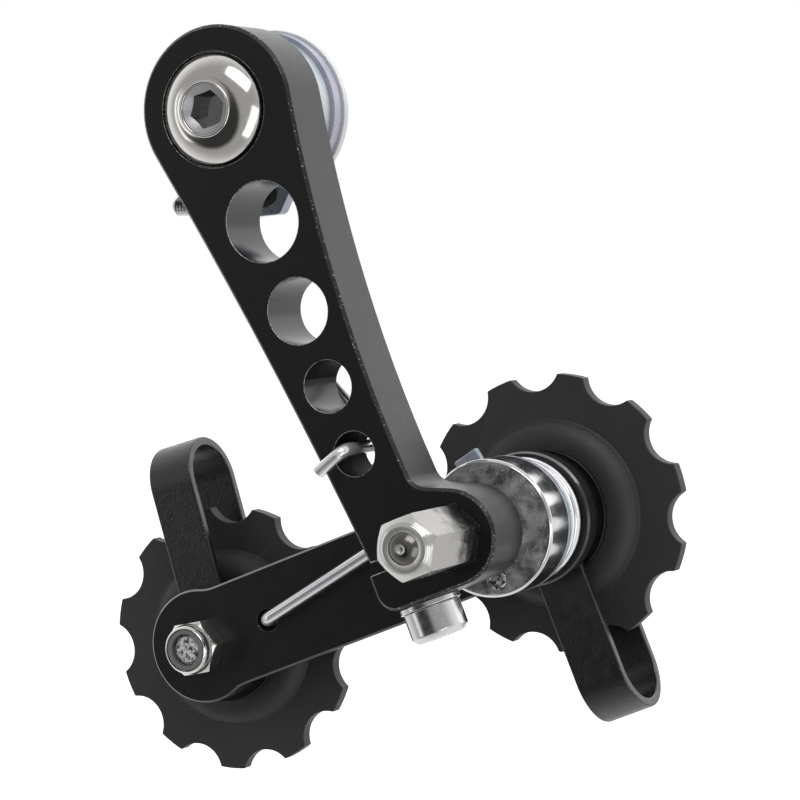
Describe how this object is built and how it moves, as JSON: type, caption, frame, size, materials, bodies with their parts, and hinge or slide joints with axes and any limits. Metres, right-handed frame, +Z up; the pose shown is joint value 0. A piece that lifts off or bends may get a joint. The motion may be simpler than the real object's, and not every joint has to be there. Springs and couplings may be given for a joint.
{
  "type": "bicycle chain tensioner",
  "caption": "Sprung chain tensioner: drilled arm on a mounting bolt, hexagon pivot axle, cage plate, toothed pulleys and strap chain keepers.",
  "frame": {"origin": "on the mounting bolt's axis, at the rear face of the washer that bears on the hanger", "axes": "+X forward along the bicycle, +Y inwards along the bolt to the wheel, +Z up"},
  "size_m": [0.0981, 0.065, 0.1166],
  "materials": {
    "polished_steel": "polished steel, light scratches",
    "zinc_plate": "zinc plated, slightly iridescent",
    "black_anodised": "black anodised, satin, small worn specks",
    "black_screw": "black oxide, satin",
    "bright_screw": "bright steel, satin, small marks",
    "axle_steel": "machined, frosted",
    "collar_steel": "turned, dull face",
    "spring_wire": "bright drawn wire",
    "plated_nut": "bright plated",
    "black_plate": "satin black coat",
    "pulley_plastic": "moulded, matt",
    "bush_bronze": "sintered, matt",
    "cap_steel": "black plated, satin",
    "nut_nylon": "smooth"
  },
  "bodies": {
    "mount": {"mounting_bolt": "polished_steel", "hanger_washer": "zinc_plate", "swivel_spacer": "zinc_plate"},
    "stop": {"stop_plate": "zinc_plate", "lock_screw": "black_screw"},
    "stop_screw": {"stop_screw": "bright_screw"},
    "arm": {"arm": "black_anodised", "pinch_washer": "bright_screw"},
    "pinch": {"pinch_screw": "bright_screw"},
    "axle": {"pivot_axle": "axle_steel", "spring_collar": "collar_steel", "collar_screw": "bright_screw", "anchor_washer": "zinc_plate", "torsion_spring": "spring_wire", "axle_end_nut": "plated_nut"},
    "cage": {"cage_plate": "black_plate", "cage_bush": "plated_nut", "tension_shim": "plated_nut", "guide_keeper": "black_plate", "tension_keeper": "black_plate", "guide_bush": "bush_bronze", "tension_bush": "bush_bronze", "guide_cap_front": "cap_steel", "guide_cap_rear": "cap_steel", "tension_cap_front": "cap_steel", "tension_cap_rear": "cap_steel", "cage_bolt": "bright_screw", "lock_nut": "plated_nut", "nut_insert": "nut_nylon"},
    "guide_wheel": {"guide_pulley": "pulley_plastic"},
    "tension_wheel": {"tension_pulley": "pulley_plastic"}
  },
  "joints": [
    {"name": "stop_plate_turn", "type": "hinge", "parent": "mount", "child": "stop", "pos_m": [0, 0, 0], "axis": [0, 1, 0], "range_deg": [-30, 30]},
    {"name": "stop_screw_travel", "type": "slide", "parent": "stop", "child": "stop_screw", "axis": [1, 0, 0], "range_m": [0, 0.003]},
    {"name": "arm_swing", "type": "hinge", "parent": "mount", "child": "arm", "pos_m": [0, 0, 0], "axis": [0, 1, 0], "range_deg": [-35, 35]},
    {"name": "pinch_screw_turn", "type": "hinge", "parent": "arm", "child": "pinch", "pos_m": [0.02939, -0.01385, -0.06394], "axis": [-0.3827, 0, 0.9239], "range_deg": [-360, 0]},
    {"name": "axle_slide", "type": "slide", "parent": "arm", "child": "axle", "axis": [0, 1, 0], "range_m": [-0.0025, 0.008], "deforming": ["torsion_spring"]},
    {"name": "cage_pivot", "type": "hinge", "parent": "axle", "child": "cage", "pos_m": [0.0377, 0, -0.0605], "axis": [0, -1, 0], "range_deg": [0, 110], "stiffness_Nm_per_rad": 0.9, "springref_deg": -14.32, "deforming": ["torsion_spring"]},
    {"name": "guide_pulley_spin", "type": "hinge", "parent": "cage", "child": "guide_wheel", "pos_m": [0.0377, 0, -0.0605], "axis": [0, 1, 0], "continuous": true},
    {"name": "tension_pulley_spin", "type": "hinge", "parent": "cage", "child": "tension_wheel", "pos_m": [-0.01834, 0, -0.08303], "axis": [0, 1, 0], "continuous": true}
  ]
}
